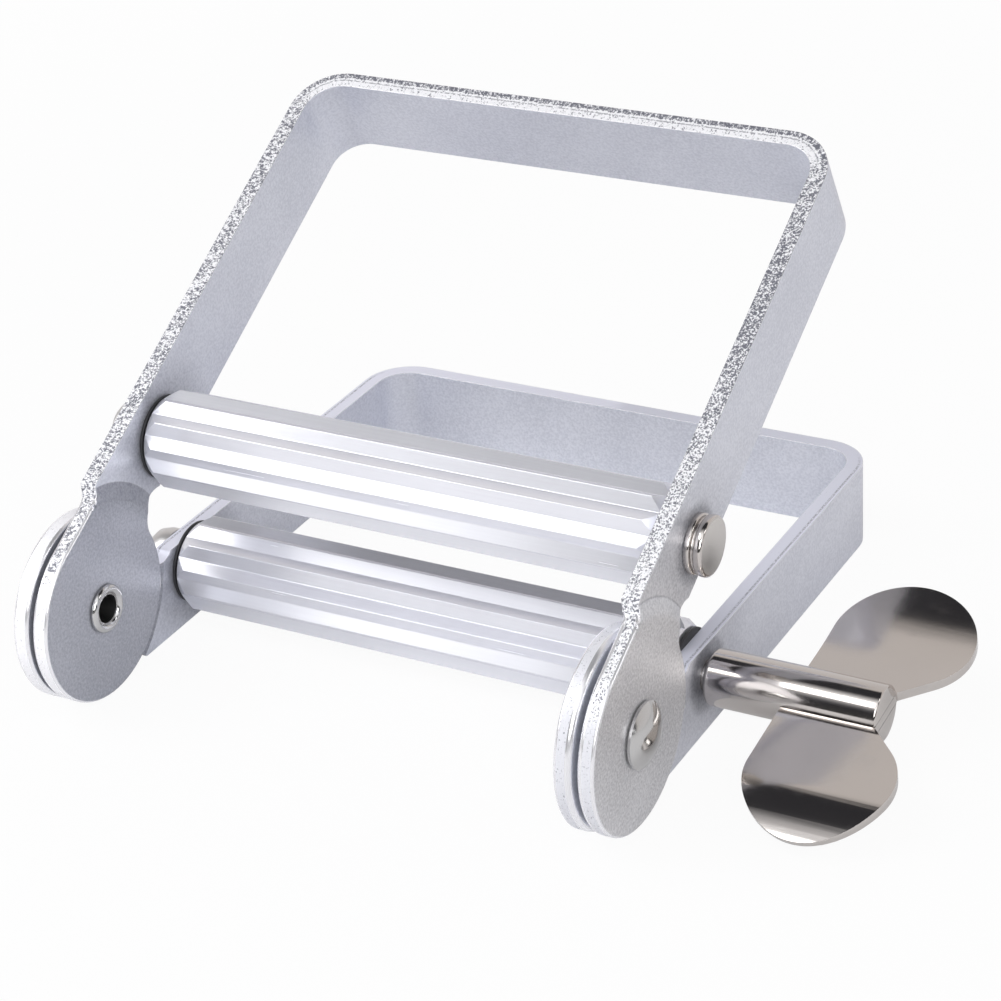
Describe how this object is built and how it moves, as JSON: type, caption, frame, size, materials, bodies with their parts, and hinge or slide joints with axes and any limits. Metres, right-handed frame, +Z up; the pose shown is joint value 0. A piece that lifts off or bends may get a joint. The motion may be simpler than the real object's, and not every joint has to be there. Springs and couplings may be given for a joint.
{
  "type": "tube squeezer",
  "caption": "Hand tool of bent-strip frames hinged together, with fluted rollers and a wing key, that winds and squeezes a soft tube from its flat end.",
  "frame": {"origin": "middle of the object in plan, at the height of the surface that the lower frame lies on", "axes": "+X along the hinge axis towards the key, +Y from the hinge towards the end bars, +Z up"},
  "size_m": [0.0888, 0.0732, 0.0505],
  "materials": {
    "frame_metal": "bead-blasted and anodised",
    "roller_metal": "smooth extruded",
    "plated_steel": "polished nickel plate",
    "washer_plastic": "smooth black"
  },
  "bodies": {
    "base": {"lower_frame": "frame_metal", "hinge_rivet_left": "plated_steel", "hinge_rivet_right": "plated_steel", "lower_washer_left": "washer_plastic", "lower_washer_right": "washer_plastic"},
    "upper": {"upper_frame": "frame_metal", "upper_pin": "plated_steel", "upper_pin_cap": "plated_steel", "upper_washer_left": "washer_plastic", "upper_washer_right": "washer_plastic"},
    "roller": {"upper_roller": "roller_metal"},
    "key": {"lower_roller": "roller_metal", "key_shaft": "plated_steel", "key_cap": "plated_steel", "wing": "plated_steel"}
  },
  "joints": [
    {"name": "frame_hinge", "type": "hinge", "parent": "base", "child": "upper", "pos_m": [-0.0086, -0.0268, 0.01055], "axis": [1, 0, 0], "range_deg": [-23.5, 210]},
    {"name": "upper_roller_spin", "type": "hinge", "parent": "upper", "child": "roller", "pos_m": [-0.0086, -0.01286, 0.02336], "axis": [1, 0, 0], "continuous": true},
    {"name": "key_spin", "type": "hinge", "parent": "base", "child": "key", "pos_m": [-0.0086, -0.0084, 0.0061], "axis": [1, 0, 0], "continuous": true}
  ]
}
